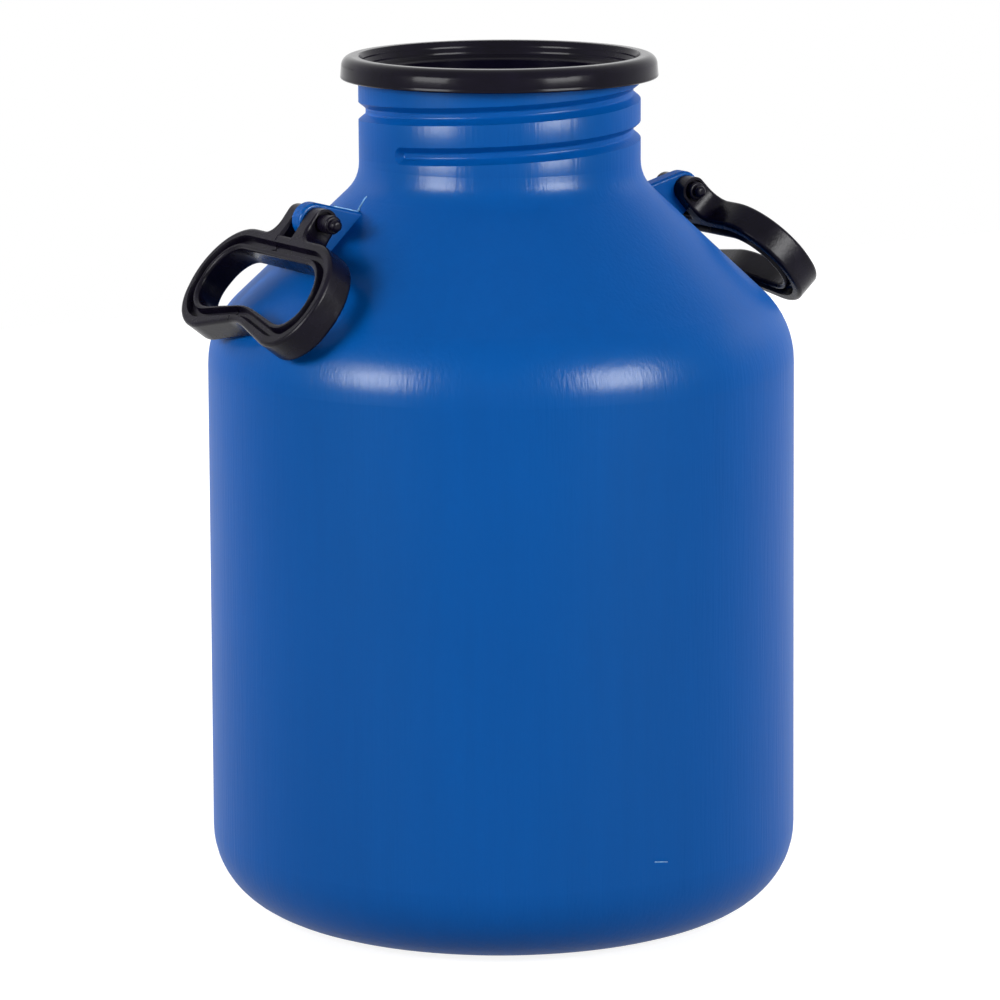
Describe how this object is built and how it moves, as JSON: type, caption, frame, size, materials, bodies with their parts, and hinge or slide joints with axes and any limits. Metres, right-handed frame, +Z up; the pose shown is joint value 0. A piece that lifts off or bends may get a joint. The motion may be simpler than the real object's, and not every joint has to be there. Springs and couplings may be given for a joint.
{
  "type": "plastic milk can",
  "caption": "Blue plastic milk can with a black snap-in rim collar, a screw-grooved neck and two black swinging loop handles pinned to moulded lugs.",
  "frame": {"origin": "centre of the base, on the plane that the can stands on", "axes": "+Z up along the can's axis, +X towards the right-hand handle lug, -Y the side that the pins' small tips point to"},
  "size_m": [0.3542, 0.3306, 0.48],
  "materials": {
    "blue_shell": "satin",
    "black_trim": "satin gloss"
  },
  "bodies": {
    "can": {"can_shell": "blue_shell", "rim_collar": "black_trim", "pin_left": "black_trim", "pin_right": "black_trim"},
    "left_handle": {"handle_left": "black_trim"},
    "right_handle": {"handle_right": "black_trim"}
  },
  "joints": [
    {"name": "left_handle_pivot", "type": "hinge", "parent": "can", "child": "left_handle", "pos_m": [-0.12099, 0, 0.39662], "axis": [0, 1, 0], "range_deg": [0, 173]},
    {"name": "right_handle_pivot", "type": "hinge", "parent": "can", "child": "right_handle", "pos_m": [0.12099, 0, 0.39662], "axis": [0, -1, 0], "range_deg": [-5, 168]}
  ]
}
